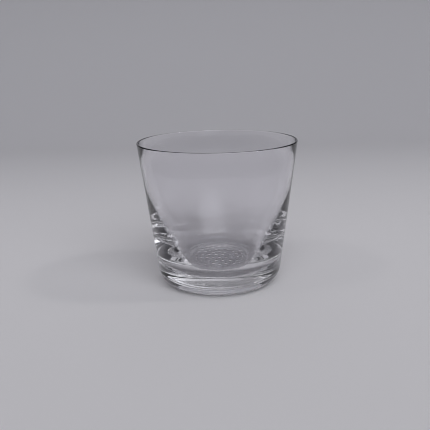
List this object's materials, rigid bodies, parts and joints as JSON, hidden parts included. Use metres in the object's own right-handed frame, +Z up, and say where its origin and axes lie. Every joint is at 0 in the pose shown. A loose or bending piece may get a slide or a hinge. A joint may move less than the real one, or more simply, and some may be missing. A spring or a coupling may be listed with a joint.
{
  "type": "whisky tumbler",
  "caption": "Clear glass rocks tumbler with a thin tapered wall, a thick base, a rounded heel and a notched standing ring.",
  "frame": {"origin": "on the axis of revolution, at the table plane that the standing ring rests on", "axes": "+Z up along the axis of revolution, towards the rim; X and Y are equivalent"},
  "size_m": [0.09, 0.09, 0.082],
  "materials": {
    "clear_glass": "clear soda-lime glass, fire-polished, with a very faint grey tint"
  },
  "bodies": {
    "root": {"tumbler_glass": "clear_glass"}
  },
  "joints": []
}
